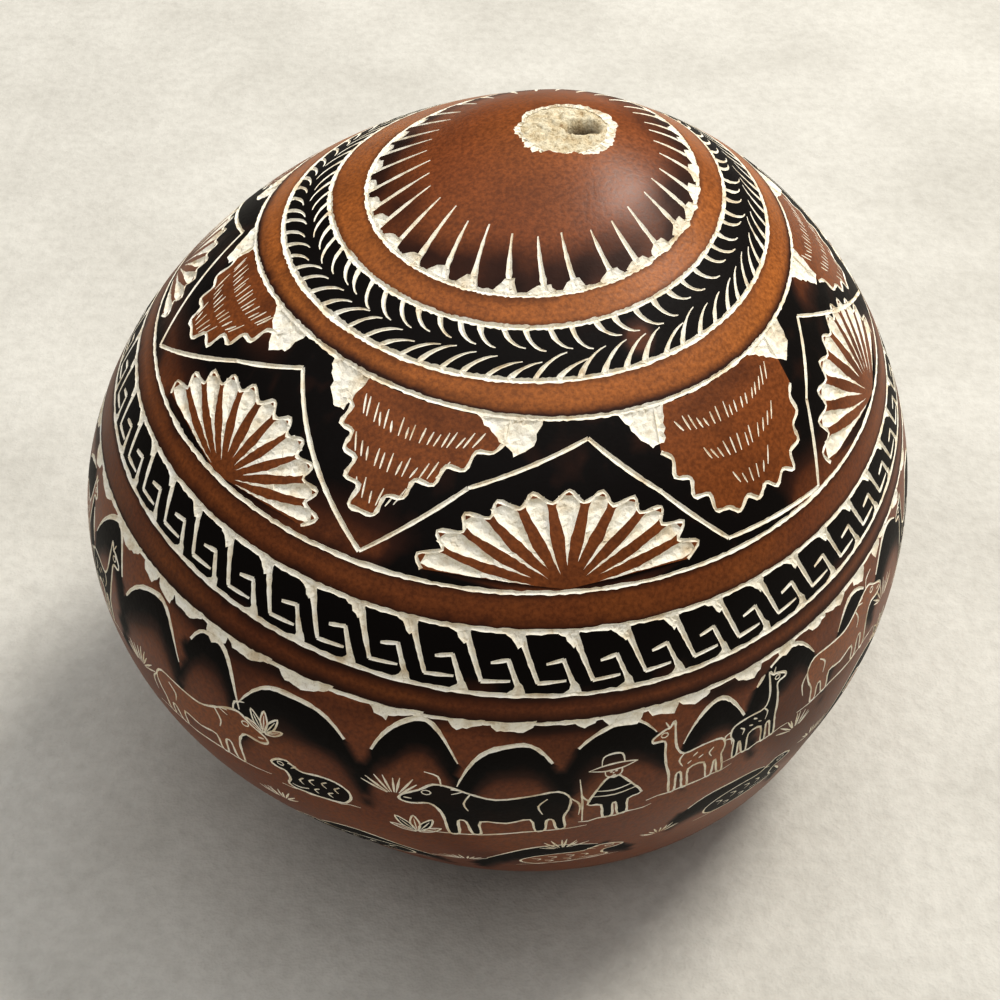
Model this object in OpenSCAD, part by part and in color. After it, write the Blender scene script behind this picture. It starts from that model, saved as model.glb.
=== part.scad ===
// A small bottle gourd, dried whole and carved for ornament.
// The shell is hollow and holds what grew in it: a dried ball of pulp and its loose seeds, which rattle.
// The stem has broken off and left its corky root in the crown; the underside is sanded flat.
// The middle of the crown stands over the origin, and the belly bulges towards -X.

/* [Gourd] */
// Width of the belly
belly_d = 100; // [80:1:120]
// How far the belly lies to one side of the crown
belly_lean = 8.5; // [0:0.5:10]
// Thickness of the shell's wall at the belly
wall_t = 3.2; // [2.4:0.1:4.2]
// How much is sanded off the underside
sanded = 1.2; // [0.8:0.1:1.6]

/* [Stem and blossom ends] */
// Width of the corky root of the stem
stem_d = 9.4; // [7:0.2:11]
// How far the broken root lies below the crown
stem_sink = 0.7; // [0.3:0.1:1.2]
// Length of the root's tail inside the shell
tail_l = 5; // [3:0.5:8]
// Width of the blossom scar in the underside
blossom_d = 6; // [4:0.5:8]

/* [Carved rings] */
// Width of a carved ring
groove_w = 1; // [0.6:0.1:1.4]
// Depth of a carved ring
groove_depth = 0.5; // [0.3:0.1:0.8]

/* [Loose contents] */
// Width of the dried ball of pulp
pulp_d = 30; // [24:1:32]
// Length of a seed
seed_l = 12; // [10:0.5:13]
// Thickness of a seed
seed_t = 2.6; // [2:0.2:3]

/* [Hidden] */
SEEDS = ["seed_1", "seed_2", "seed_3", "seed_4", "seed_5", "seed_6", "seed_7", "seed_8"];

belly_r = belly_d / 2;
gap = 0.35;

// Reach from the gourd's heart to its skin, from the crown down to the underside, as shares of belly_r.
stations = [0.838, 0.822, 0.805, 0.830, 0.880, 0.940, 0.993, 1.018, 1.026, 1.057, 1.010, 0.958, 0.945];
last_station = len(stations) - 1;
station_step = 180 / last_station;
heart_z = belly_r * stations[last_station] - sanded;
crown_z = heart_z + belly_r * stations[0];
// Where the middles of the belly and of the underside lie, seen from the crown.
belly_at = [-belly_lean, -0.33 * belly_lean];
foot_at = [0.45 * belly_lean, -0.28 * belly_lean];
// How much wider the belly is across one diagonal than round.
oval = 0.034;

// Carved rings, from the crown down: height as an angle at the heart, its tilt along X and along Y,
// and how it wavers twice a turn, because the hand that cut it drifted.
rings = [
    [63.3, 3.7, 2.3, 1.0, 0.6],
    [56.5, 3.5, -0.3, 1.7, 1.0],
    [48.6, 2.0, 0.0, 1.0, 1.2],
    [43.1, 1.3, -0.8, 1.2, 2.2],
    [22.0, -2.6, -0.8, 1.0, 1.0],
    [17.9, -2.7, -0.4, 1.0, 1.4],
    [11.8, -2.7, 0.7, 1.6, 1.8],
    [7.6, -1.8, 0.3, 1.5, 2.0]
];
crown = [90, 0, 0, 0, 0];
underside = [-90, 0, 0, 0, 0];

turns = 72;
row_step = 6;
cavity_turns = 36;
cavity_rows = 18;

// A station's share, with the row of stations mirrored past its two ends.
function station(i) = stations[i < 0 ? -i : i > last_station ? 2 * last_station - i : i];

// Distance from the heart to the skin at the height angle phi, on a smooth curve through the stations.
function reach(phi) =
    let (t = (90 - phi) / station_step,
         i = min(floor(t), last_station - 1),
         u = t - i,
         a = station(i - 1), b = station(i), c = station(i + 1), d = station(i + 2))
    belly_r * (b + u / 2 * (c - a + u * (2 * a - 5 * b + 4 * c - d + u * (3 * b - 3 * c + d - a))));

// A point under the skin at the height angle phi and the turn about the stem, depth below the surface.
function skin(phi, turn, depth = 0) =
    let (far = reach(phi) - depth,
         out = far * cos(phi) * (1 + oval * sin(2 * turn) * pow(cos(phi), 2)),
         middle = belly_at * pow(cos(phi), 2) + foot_at * (1 - sin(phi)) / 2)
    [middle[0] + out * cos(turn), middle[1] + out * sin(turn), far * sin(phi) + heart_z];

// Height angle of a ring at one turn.
function ring_phi(ring, turn) =
    ring * [1, cos(turn), sin(turn), cos(2 * turn), sin(2 * turn)];

// The shell thickens towards the stem end and the blossom end.
function wall(phi) = wall_t * (1 + 0.4 * pow(abs(sin(phi)), 6));

// Rows between two rings, each a ring of its own, evenly spaced.
function rows_between(upper, lower) =
    let (n = ceil((upper[0] - lower[0]) / row_step))
    [for (k = [1:1:n - 1]) [(upper * (n - k) + lower * k) / n, 0]];

// The three rows of one carved ring: upper edge, bottom and lower edge.
function groove_rows(ring) =
    let (half = [groove_w / 2 / reach(ring[0]) * 180 / PI, 0, 0, 0, 0])
    [[ring + half, 0], [ring, groove_depth], [ring - half, 0]];

knots = concat([crown], rings, [underside]);
skin_rows = [for (i = [1:len(knots) - 1])
    each concat(rows_between(knots[i - 1], knots[i]),
                i < len(knots) - 1 ? groove_rows(knots[i]) : [])];
skin_points = [for (row = skin_rows)
    [for (k = [0:turns - 1]) let (turn = 360 * k / turns) skin(ring_phi(row[0], turn), turn, row[1])]];
cavity_points = [for (row = [1:cavity_rows - 1])
    let (phi = 90 - 180 * row / cavity_rows)
    [for (k = [0:cavity_turns - 1]) skin(phi, 360 * k / cavity_turns, wall(phi))]];

// A closed solid through rows of points, highest row first, ending in a point above and one below.
module loft(top, rows, bottom) {
    n = len(rows[0]);
    last = len(rows) - 1;
    points = concat([top], [for (row = rows) each row], [bottom]);
    faces = concat(
        [for (k = [0:n - 1]) [0, 1 + (k + 1) % n, 1 + k]],
        [for (row = [0:last - 1], k = [0:n - 1])
            let (a = 1 + row * n + k, b = 1 + row * n + (k + 1) % n)
            each [[a, b, b + n], [a, b + n, a + n]]],
        [for (k = [0:n - 1]) [1 + last * n + k, 1 + last * n + (k + 1) % n, len(points) - 1]]);
    polyhedron(points, faces);
}

// The stem's root is a plug through the wall of the crown, with a tail that withered inside.
pit_d = 3.2;
pit_depth = 1.6;
pit_place = [1.8, 0.5];
root_top = crown_z - stem_sink;
root_floor = skin(90, 0, wall(90))[2];

// The blossom scar is a disc let into the sanded flat, to one side of the origin.
blossom_place = 1.5 * foot_at;
blossom_recess = 0.4;
blossom_t = 1.4;

module shell() {
    color("sienna") difference() {
        loft(skin(90, 0), skin_points, skin(-90, 0));
        loft(skin(90, 0, wall(90)), cavity_points, skin(-90, 0, wall(-90)));
        translate([0, 0, root_floor - 1]) cylinder(h = crown_z - root_floor + 2, d = stem_d, $fn = 64);
        translate([-belly_d, -belly_d, -belly_d]) cube([2 * belly_d, 2 * belly_d, belly_d]);
        translate([blossom_place[0], blossom_place[1], -1])
            cylinder(h = 1 + blossom_recess + blossom_t, d = blossom_d, $fn = 48);
    }
}

module stem_root() {
    root_r = stem_d / 2;
    color("tan") difference() {
        rotate_extrude($fn = 64) polygon([
            [0, root_floor - tail_l],
            [0.2 * root_r, root_floor - tail_l],
            [0.45 * root_r, root_floor - 0.6 * tail_l],
            [0.62 * root_r, root_floor - 0.2 * tail_l],
            [root_r, root_floor + 0.6],
            [root_r, root_top - 0.4],
            [0.8 * root_r, root_top],
            [0, root_top]
        ]);
        translate([pit_place[0], pit_place[1], root_top - pit_depth])
            cylinder(h = pit_depth + 1, d1 = 0.6 * pit_d, d2 = 1.3 * pit_d, $fn = 32);
    }
}

module blossom_scar() {
    navel_d = 1.6;
    navel_depth = 0.6;
    color("peru") translate([blossom_place[0], blossom_place[1], blossom_recess]) difference() {
        cylinder(h = blossom_t, d = blossom_d, $fn = 48);
        translate([0, 0, -1]) cylinder(h = 1 + navel_depth, d = navel_d, $fn = 24);
    }
}

// Pulp dries into a lumpy ball, a little flattened, that comes loose from the wall.
pulp_rows = 12;
pulp_turns = 24;
pulp_squat = 0.92;
pulp_at = [foot_at[0], foot_at[1], skin(-90, 0, wall(-90))[2] + gap + pulp_squat * pulp_d / 2];

// The lumps push the ball inwards only, so pulp_d is its true width.
function pulp_far(phi, turn) =
    pulp_d / 2 * (1 - 0.035 * (1 + sin(3 * turn + 2 * phi)) - 0.025 * (1 + cos(5 * turn) * sin(3 * phi)));

function pulp_point(phi, turn) =
    let (far = pulp_far(phi, turn))
    [far * cos(phi) * cos(turn), far * cos(phi) * sin(turn), pulp_squat * far * sin(phi)];

module pulp_ball() {
    color("wheat") translate(pulp_at) loft(
        pulp_point(90, 0),
        [for (row = [1:pulp_rows - 1])
            [for (k = [0:pulp_turns - 1]) pulp_point(90 - 180 * row / pulp_rows, 360 * k / pulp_turns)]],
        pulp_point(-90, 0));
}

// Half of a seed's outline, from its narrow end to the notch between its two ears,
// as shares of half its length and half its width.
seed_half = [
    [-1, 0.2], [-0.82, 0.48], [-0.42, 0.76], [0.1, 0.94], [0.6, 1],
    [0.88, 0.92], [1, 0.6], [0.92, 0.26], [0.86, 0]
];
seed_w = 0.52 * seed_l;
seed_edge = concat(
    [for (p = seed_half) [p[0], -p[1]]],
    [for (i = [len(seed_half) - 2:-1:0]) seed_half[i]]);
// A seed's cushion shape: height as a share of half its thickness, and how far the outline draws in there.
seed_layers = [[0.85, 0.72], [0.5, 0.93], [0, 1], [-0.5, 0.93], [-0.85, 0.72]];

// The seeds lie in a ring round the pulp on the sloping floor of the shell.
seed_phi = -55;
seed_depth = wall(seed_phi) + gap + 0.75 * seed_t;
seed_scatter = [0, 7, -5, 4, -8, 6, -3, 5];
slope_step = 6;

module seed(i) {
    turn = 360 * i / len(SEEDS) + seed_scatter[i];
    place = skin(seed_phi, turn, seed_depth);
    outer = skin(seed_phi + slope_step, turn, seed_depth);
    inner = skin(seed_phi - slope_step, turn, seed_depth);
    slope = atan2(outer[2] - inner[2], norm([outer[0] - inner[0], outer[1] - inner[1]]));
    color("burlywood")
        translate(place) rotate([0, 0, turn]) rotate([0, -slope, 0]) rotate([0, 0, 90]) loft(
            [0, 0, seed_t / 2],
            [for (layer = seed_layers)
                [for (p = seed_edge)
                    [p[0] * layer[1] * seed_l / 2, p[1] * layer[1] * seed_w / 2, layer[0] * seed_t / 2]]],
            [0, 0, -seed_t / 2]);
}

shell();
stem_root();
blossom_scar();
pulp_ball();
for (i = [0:len(SEEDS) - 1]) seed(i);
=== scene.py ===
import math
import random
import bpy
import numpy as np
from mathutils import Matrix, Vector, noise
from mathutils.geometry import delaunay_2d_cdt


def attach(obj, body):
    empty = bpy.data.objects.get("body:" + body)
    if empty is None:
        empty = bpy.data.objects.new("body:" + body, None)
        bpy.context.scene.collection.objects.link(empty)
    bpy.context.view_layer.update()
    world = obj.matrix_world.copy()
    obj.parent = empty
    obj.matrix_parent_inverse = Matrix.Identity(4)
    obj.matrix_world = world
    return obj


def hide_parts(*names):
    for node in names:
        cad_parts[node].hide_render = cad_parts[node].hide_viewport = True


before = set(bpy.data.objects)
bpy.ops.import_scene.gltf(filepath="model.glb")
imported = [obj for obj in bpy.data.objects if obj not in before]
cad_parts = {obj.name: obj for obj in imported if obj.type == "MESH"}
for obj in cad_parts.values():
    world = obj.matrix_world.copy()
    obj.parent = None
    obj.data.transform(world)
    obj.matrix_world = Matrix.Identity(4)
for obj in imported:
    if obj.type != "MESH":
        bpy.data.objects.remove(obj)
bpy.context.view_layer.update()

# The crown is the top of the rind, the hard outer wall of a gourd that was dried until it was hollow.
# It is stained red brown, waxed and scorched, and a burin then cuts a wreath of rays down to the pale pulp.
# The whole rind follows one lopsided globe round the gourd's heart, and so does the solid shell.
BELLY_R = 50.0
SANDED = 1.2
# The reach from the heart at every 15 degrees from crown to foot, as a share of the belly's radius.
STATIONS = np.array([
    0.838, 0.822, 0.805, 0.830, 0.880, 0.940, 0.993, 1.018, 1.026, 1.057, 1.010, 0.958, 0.945])
STATION_STEP = 15
HEART_Z = BELLY_R * STATIONS[-1] - SANDED
# The belly leans one way and the foot another, in mm, and the belly is a little oval.
BELLY_AT = np.array([-8.5, -2.8])
FOOT_AT = np.array([3.8, -2.4])
OVAL = 0.034
# Each band of skin is laid out flat from this turn, at the back, once round to it again.
SEAM = 97.0
MM = 0.001
dice = random.Random(11)


def spline(a, b, c, d, u):
    """A smooth curve from b to c that also heeds the value before and the value after."""
    return b + u / 2 * (c - a + u * (2 * a - 5 * b + 4 * c - d + u * (3 * b - 3 * c + d - a)))


def reach(phi):
    last = len(STATIONS) - 1
    t = (90 - np.asarray(phi, float)) / STATION_STEP
    i = np.clip(np.floor(t).astype(int), 0, last - 1)

    def station(k):
        k = np.abs(k)
        return STATIONS[np.where(k > last, 2 * last - k, k)]

    return BELLY_R * spline(station(i - 1), station(i), station(i + 1), station(i + 2), t - i)


def skin(turn, phi, depth=0.0):
    """The place in mm at a turn about the stem and a height angle, in degrees, and at a depth in mm."""
    t, p = np.radians(turn), np.radians(phi)
    far = reach(phi) - depth
    out = far * np.cos(p) * (1 + OVAL * np.sin(2 * t) * np.cos(p) ** 2)
    level = np.cos(p) ** 2
    foot = (1 - np.sin(p)) / 2
    return np.stack([
        BELLY_AT[0] * level + FOOT_AT[0] * foot + out * np.cos(t),
        BELLY_AT[1] * level + FOOT_AT[1] * foot + out * np.sin(t),
        far * np.sin(p) + HEART_Z], -1)


def skin_normal(turn, phi):
    small = 0.05
    east = skin(turn + small, phi) - skin(turn - small, phi)
    north = skin(turn, phi + small) - skin(turn, phi - small)
    normal = np.cross(east, north)
    return normal / np.linalg.norm(normal, axis=-1, keepdims=True)


# Lengths along the skin: mm for a degree of turn and for a degree of height.
LEVELS = np.arange(-90, 90.1, 0.5)
ROUND_MM = np.maximum(reach(LEVELS) * np.cos(np.radians(LEVELS)), 0.5) * math.pi / 180
RISE_MM = np.hypot(reach(LEVELS), np.gradient(reach(LEVELS), LEVELS) * 180 / math.pi) * math.pi / 180


def mm_per_turn(phi):
    return float(np.interp(phi, LEVELS, ROUND_MM))


def mm_per_rise(phi):
    return float(np.interp(phi, LEVELS, RISE_MM))


def beside(place, across, up):
    """The place that lies across mm to the right of a place and up mm above it."""
    return place[0] + across / mm_per_turn(place[1]), place[1] + up / mm_per_rise(place[1])


def gap_mm(a, b):
    middle = (a[1] + b[1]) / 2
    return math.hypot((b[0] - a[0]) * mm_per_turn(middle), (b[1] - a[1]) * mm_per_rise(middle))


def smooth(low, high, value):
    t = min(max((value - low) / (high - low), 0.0), 1.0)
    return t * t * (3 - 2 * t)


# Rings are cut right round the rind, each a white line that drifts a little up and down. A row gives its
# height, its tilt along X and Y and how it wavers twice a turn, in degrees, and then its width in mm.
rings = {
    "A": (63.3, 3.7, 2.3, 1.0, 0.6, 0.55),
    "B": (56.5, 3.5, -0.3, 1.7, 1.0, 0.55),
}


def ring_at(name, turn):
    t = math.radians(turn)
    level, x1, y1, x2, y2, _ = rings[name]
    return level + x1 * math.cos(t) + y1 * math.sin(t) + x2 * math.cos(2 * t) + y2 * math.sin(2 * t)


def between(upper, lower, turn, share):
    """Height angle at a share of the way from one ring down to another."""
    a, b = ring_at(upper, turn), ring_at(lower, turn)
    return a + (b - a) * share


def halfway(upper, lower):
    return lambda turn: between(upper, lower, turn, 0.5)


class Band:
    """A stretch of skin between two level lines, and everything carved or burnt into it."""

    def __init__(self, name, upper, lower):
        self.name, self.upper, self.lower = name, upper, lower
        self.places, self.depths, self.areas, self.creases = [], [], [], []

    def points(self, places, depths):
        first = len(self.places)
        self.places += places
        self.depths += depths
        return list(range(first, len(self.places)))

    def copies(self, places):
        """The places once, and once more a turn further if they cross the seam at the back."""
        for shift in (-360, 0, 360):
            moved = [(turn + shift, phi) for turn, phi in places]
            turns = [turn for turn, phi in moved]
            if max(turns) > SEAM + 0.001 and min(turns) < SEAM + 359.999:
                yield moved

    def area(self, outline, mark=None):
        """A patch that is cut away or, with a mark, burnt: the mark is its burn and how cloudy that is."""
        for places in self.copies(outline):
            self.areas.append((self.points(places, [0.0] * len(places)), mark))

    def crease(self, path, depths):
        for places in self.copies(path):
            row = self.points(places, list(depths))
            self.creases += list(zip(row, row[1:]))

    def dot(self, place, depth):
        self.points([((place[0] - SEAM) % 360 + SEAM, place[1])], [depth])


STROKE_STEP = 0.55


def evenly(path, step=STROKE_STEP):
    """The same path with points about a step apart, in mm."""
    points = [path[0]]
    for a, b in zip(path, path[1:]):
        count = max(1, round(gap_mm(a, b) / step))
        for k in range(1, count + 1):
            points.append((a[0] + (b[0] - a[0]) * k / count, a[1] + (b[1] - a[1]) * k / count))
    return points


def stroke(band, path, widths, rough=0.16, deep=0.42, deepest=0.3):
    """One pass of the burin along a path, with its width in mm at the start, the middle and the end."""
    path = evenly(path)
    if len(path) < 3:
        middle = ((path[0][0] + path[-1][0]) / 2, (path[0][1] + path[-1][1]) / 2)
        path = [path[0], middle, path[-1]]
    last = len(path) - 1
    left, right, middles, depths = [], [], [], []
    for i, place in enumerate(path):
        a, b = path[max(i - 1, 0)], path[min(i + 1, last)]
        dx, dy = (b[0] - a[0]) * mm_per_turn(place[1]), (b[1] - a[1]) * mm_per_rise(place[1])
        size = math.hypot(dx, dy) or 1.0
        width = float(np.interp(i / last, (0, 0.5, 1), widths))
        half = max(width * (1 + rough * (2 * dice.random() - 1)) / 2, 0.02)
        left.append(beside(place, -dy / size * half, dx / size * half))
        right.append(beside(place, dy / size * half, -dx / size * half))
        middles.append(place)
        depths.append(min(deep * width, deepest))
    band.area(left + right[::-1])
    band.crease(middles[1:-1], depths[1:-1])


def inside(place, outline):
    x, y = place
    hit = False
    for (ax, ay), (bx, by) in zip(outline, outline[1:] + outline[:1]):
        if (ay > y) != (by > y) and x < (bx - ax) * (y - ay) / (by - ay) + ax:
            hit = not hit
    return hit


def ragged(outline, step=0.5, amount=0.09):
    """A closed outline with points a step apart, each pushed a little to one side."""
    points = evenly(list(outline) + [outline[0]], step)[:-1]
    return [beside(p, dice.uniform(-amount, amount), dice.uniform(-amount, amount)) for p in points]


def scoop(band, outline, depth=0.32, step=0.42, ragged_by=0.09):
    """A patch where the skin is scraped off down to the pulp, with a rough floor."""
    outline = ragged(outline, amount=ragged_by)
    band.area(outline)
    turns, phis = [p[0] for p in outline], [p[1] for p in outline]
    level = sum(phis) / len(phis)
    across, up = step / mm_per_turn(level), step / mm_per_rise(level)
    for i in range(int((max(turns) - min(turns)) / across) + 1):
        for j in range(int((max(phis) - min(phis)) / up) + 1):
            place = (min(turns) + (i + dice.uniform(-0.3, 0.3)) * across,
                     min(phis) + (j + 0.5 * (i % 2) + dice.uniform(-0.3, 0.3)) * up)
            if not inside(place, outline):
                continue
            rim = min(gap_mm(place, p) for p in outline)
            if rim > 0.16:
                band.dot(place, depth * smooth(0, 0.5, rim) * dice.uniform(0.6, 1.1))


def ring_line(band, name):
    """A ring cut right round, from seam to seam."""
    width = rings[name][-1]
    count, length = 500, 20
    upper, lower, middle = [], [], []
    for k in range(count + 1):
        turn = SEAM + 360 * k / count
        place = (turn, ring_at(name, turn))
        wild = 0 if k in (0, count) else 1
        half = width / 2 * (1 + 0.35 * wild * noise.noise((turn * 0.21, place[1], 3.1)))
        upper.append(beside(place, 0, half + wild * dice.uniform(-0.07, 0.07)))
        lower.append(beside(place, 0, -half - wild * dice.uniform(-0.07, 0.07)))
        middle.append(place)
    for k in range(0, count, length):
        band.area(lower[k:k + length + 1] + upper[k:k + length + 1][::-1])
    band.crease(middle, [min(0.42 * width, 0.3)] * len(middle))


def mottle(turn, phi, size, salt=0.0):
    """Soft noise from -1 to 1 over the skin, with blotches about size mm wide."""
    t, p = math.radians(turn), math.radians(phi)
    far = BELLY_R / size
    east, north = far * math.cos(t) * math.cos(p), far * math.sin(t) * math.cos(p)
    return noise.noise((east + salt, north, far * math.sin(p)))


def edge_mm(names, turn, phi):
    """How far a place is from the nearest of some rings."""
    return min(abs(phi - ring_at(name, turn)) * mm_per_rise(phi) for name in names)


def stripe(names, burn, scorch, far, gold, cloud):
    """The tone of a plain stripe between two rings, scorched for far mm along both of its edges."""
    def shade(turn, phi, soft, fine):
        rim = 1 - smooth(0.25, far, edge_mm(names, turn, phi))
        return burn + scorch * rim + 0.05 * fine, gold + cloud * soft
    return shade


def crown_tone(turn, phi, soft, fine):
    """The crown is scorched between the rays and left red brown above them."""
    down = phi - ring_at("A", turn)
    burn = (1 - smooth(1.5, 10.5, down + 2.5 * soft)) * (0.66 + 0.3 * mottle(turn, phi, 5, 12) + 0.1 * fine)
    return burn, 0.16 + 0.16 * smooth(72, 86, phi) + 0.12 * soft


tones = [crown_tone, stripe("AB", 0.0, 0.42, 0.9, 0.62, 0.2)]


def tone(turn, phi):
    """Burn and gold, from 0 to 1, at a place on the skin, by the rings that it lies between."""
    zone = sum(phi < ring_at(name, turn) for name in rings)
    return tones[zone](turn, phi, mottle(turn, phi, 9), mottle(turn, phi, 2.5, 7))


def on_seam(place):
    """A name for a place on the seam, the same on both of its sides, and none elsewhere."""
    return f"{place[1]:.3f}" if min(place[0] - SEAM, SEAM + 360 - place[0]) < 1e-4 else None


def flat_mesh(band, rim, fill):
    """Triangulates a band in flat mm, with its outlines and creases as edges that stay."""
    across, up = mm_per_turn(band.level), mm_per_rise(band.level)
    places = band.places + rim + fill
    rim_row = list(range(len(band.places), len(band.places) + len(rim)))
    edges = band.creases + [edge for row, _ in band.areas for edge in zip(row, row[1:] + row[:1])]
    flat = [Vector((turn * across, phi * up)) for turn, phi in places]
    points, _, tris, sources, _, in_rim = delaunay_2d_cdt(flat, edges, [rim_row], 0, 1e-5, True)
    exact = [places[source[0]] if source else (v.x / across, v.y / up) for v, source in zip(points, sources)]
    return np.array(exact), np.array([tri for tri, inner in zip(tris, in_rim) if inner]), sources


def covered(band, places, tris):
    """Which triangles are cut, and the number of the burnt patch that each lies in, or -1."""
    middles = places[tris].mean(axis=1)
    order = np.argsort(middles[:, 0])
    turns, phis = middles[order].T
    cut, patch = np.zeros(len(tris), bool), np.full(len(tris), -1)
    for number, (row, mark) in enumerate(band.areas):
        outline = np.array([band.places[i] for i in row])
        first, last = np.searchsorted(turns, (outline[:, 0].min(), outline[:, 0].max()))
        x, y = turns[first:last], phis[first:last]
        winding = np.zeros(len(x), int)
        for (ax, ay), (bx, by) in zip(outline, np.roll(outline, -1, axis=0)):
            if ay == by:
                continue
            crossing = ((ay > y) != (by > y)) & (x < (bx - ax) * (y - ay) / (by - ay) + ax)
            winding[crossing] += 1 if by > ay else -1
        hit = order[first:last][winding != 0]
        if mark is None:
            cut[hit] = True
        else:
            patch[hit] = number
    return cut, patch


def lay_out(band, columns_above, columns_below, spacing):
    """The rim of a band, round its edges and its seam, and points a spacing apart that fill it."""
    above = [(t, band.upper(t)) for t in (SEAM + 360 * k / columns_above for k in range(columns_above + 1))]
    below = [(t, band.lower(t)) for t in (SEAM + 360 * k / columns_below for k in range(columns_below + 1))]
    band.level = sum(phi for _, phi in above + below) / (len(above) + len(below))
    top, foot = band.upper(SEAM), band.lower(SEAM)
    rows = max(2, round((top - foot) * mm_per_rise(band.level) / spacing))
    seam = [top + (foot - top) * k / rows for k in range(1, rows)]
    rim = below + [(SEAM + 360, phi) for phi in seam[::-1]] + above[::-1] + [(SEAM, phi) for phi in seam]
    columns = round(360 * mm_per_turn(band.level) / spacing)
    fill = []
    for j in range(1, rows):
        for k in range(1, columns):
            turn = SEAM + 360 * (k - 0.5 * (j % 2)) / columns
            fill.append((turn, band.upper(turn) + (band.lower(turn) - band.upper(turn)) * j / rows))
    return rim, fill


CROWDED_MM = 0.35


def thin_out(band, rim, fill):
    """The filling points that neither lie in a cut nor crowd an outline, as a first pass shows."""
    places, tris, sources = flat_mesh(band, rim, fill)
    cut, _ = covered(band, places, tris)
    scale = np.array((mm_per_turn(band.level), mm_per_rise(band.level)))
    crowded = set(tris[cut].ravel().tolist())
    for ends in (tris[:, [0, 1]], tris[:, [1, 2]], tris[:, [2, 0]]):
        lengths = np.linalg.norm((places[ends[:, 0]] - places[ends[:, 1]]) * scale, axis=1)
        crowded |= set(ends[lengths < CROWDED_MM].ravel().tolist())
    base = len(band.places) + len(rim)
    dropped = {source - base for v in crowded for source in sources[v] if source >= base}
    return [place for k, place in enumerate(fill) if k not in dropped]


# A point in a cut lies this deep, in mm, where no stroke says how deep; the tone's depth is 1 at the deepest.
PLAIN_DEPTH = 0.14
DEEPEST = 0.4


def build_band(band, columns_above, columns_below, spacing=1.0):
    """Makes a band's mesh: smooth waxed skin where it is whole, and facets of bare pulp where it is cut."""
    rim, fill = lay_out(band, columns_above, columns_below, spacing)
    places, tris, sources = flat_mesh(band, rim, thin_out(band, rim, fill))
    cut, patch = covered(band, places, tris)
    # A point keeps the level of the skin while any face beside it is uncut, also across the seam.
    names = [on_seam(place) or v for v, place in enumerate(places)]
    plain = {names[v] for v in tris[~cut].ravel()}
    used = np.unique(tris)
    number = np.zeros(len(places), int)
    number[used] = np.arange(len(used))
    corners = number[tris]
    turns, phis = places[used].T
    depths = np.zeros(len(used))
    for i, v in enumerate(used):
        if names[v] not in plain:
            cuts = [band.depths[s] for s in sources[v] if s < len(band.depths)]
            depths[i] = max(cuts, default=0.0) or PLAIN_DEPTH
    mesh = bpy.data.meshes.new(band.name)
    mesh.from_pydata((skin(turns, phis, depths) * MM).tolist(), [], corners.tolist())
    mesh.materials.append(waxed_skin)
    mesh.materials.append(pale_pulp)
    mesh.polygons.foreach_set("material_index", cut.astype(int))
    mesh.polygons.foreach_set("use_smooth", ~cut)
    colors = np.ones((len(tris), 3, 4))
    colors[:, :, :2] = np.array([tone(turn, phi) for turn, phi in zip(turns, phis)])[corners]
    colors[:, :, 2] = depths[corners] / DEEPEST
    for face in np.nonzero(patch >= 0)[0]:
        burn, cloud = band.areas[patch[face]][1]
        for corner, v in enumerate(corners[face]):
            colors[face, corner, :2] = burn + cloud * max(mottle(turns[v], phis[v], 5, 4), 0), 0.3
    shade = mesh.attributes.new("tone", "FLOAT_COLOR", "CORNER")
    shade.data.foreach_set("color", colors.ravel())
    normals = skin_normal(turns, phis)[corners]
    normals[cut] = 0
    mesh.normals_split_custom_set(normals.reshape(-1, 3).tolist())
    piece = bpy.data.objects.new(band.name, mesh)
    bpy.context.collection.objects.link(piece)
    bpy.ops.object.select_all(action="DESELECT")
    piece.select_set(True)
    bpy.context.view_layer.objects.active = piece
    bpy.ops.object.mode_set(mode="EDIT")
    bpy.ops.mesh.select_all(action="SELECT")
    bpy.ops.mesh.remove_doubles(threshold=1e-7, use_sharp_edge_from_normals=False)
    bpy.ops.object.mode_set(mode="OBJECT")
    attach(piece, "gourd")
    return piece


def new_material(name):
    material = bpy.data.materials.new(name)
    material.use_nodes = True
    return material, material.node_tree


def feed(tree, socket, value):
    """Gives a socket a fixed value, or links it to the socket of another node."""
    if isinstance(value, bpy.types.NodeSocket):
        tree.links.new(value, socket)
    else:
        socket.default_value = (*value, 1) if socket.type == "RGBA" else value


def add_node(tree, kind, **values):
    """A new node. Each value goes to the node's socket of that name or, without one, to its setting."""
    node = tree.nodes.new(kind)
    for key, value in values.items():
        if key in node.inputs:
            feed(tree, node.inputs[key], value)
        else:
            setattr(node, key, value)
    return node


def grain(tree, scale, detail=4.0, rough=0.55, stretch=None):
    """A noise in the piece's own coordinates; scale is in blotches for each metre."""
    source = add_node(tree, "ShaderNodeTexCoord").outputs["Object"]
    if stretch:
        source = add_node(tree, "ShaderNodeMapping", Vector=source, Scale=stretch).outputs["Vector"]
    node = add_node(tree, "ShaderNodeTexNoise", Vector=source, Scale=scale, Detail=detail, Roughness=rough)
    return node.outputs["Fac"]


def ramp(tree, source, stops):
    """Colours laid along a value, with a soft change from one to the next."""
    node = add_node(tree, "ShaderNodeValToRGB", Fac=source)
    bar = node.color_ramp
    while len(bar.elements) < len(stops):
        bar.elements.new(0.5)
    for element, (place, color) in zip(bar.elements, stops):
        element.position = place
        element.color = (*color, 1)
    return node.outputs["Color"]


def blend(tree, factor, a, b, kind="MIX"):
    node = add_node(tree, "ShaderNodeMix", data_type="RGBA", blend_type=kind)
    sockets = {socket.identifier: socket for socket in node.inputs}
    for name, value in (("Factor_Float", factor), ("A_Color", a), ("B_Color", b)):
        feed(tree, sockets[name], value)
    return next(socket for socket in node.outputs if socket.identifier == "Result_Color")


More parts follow.
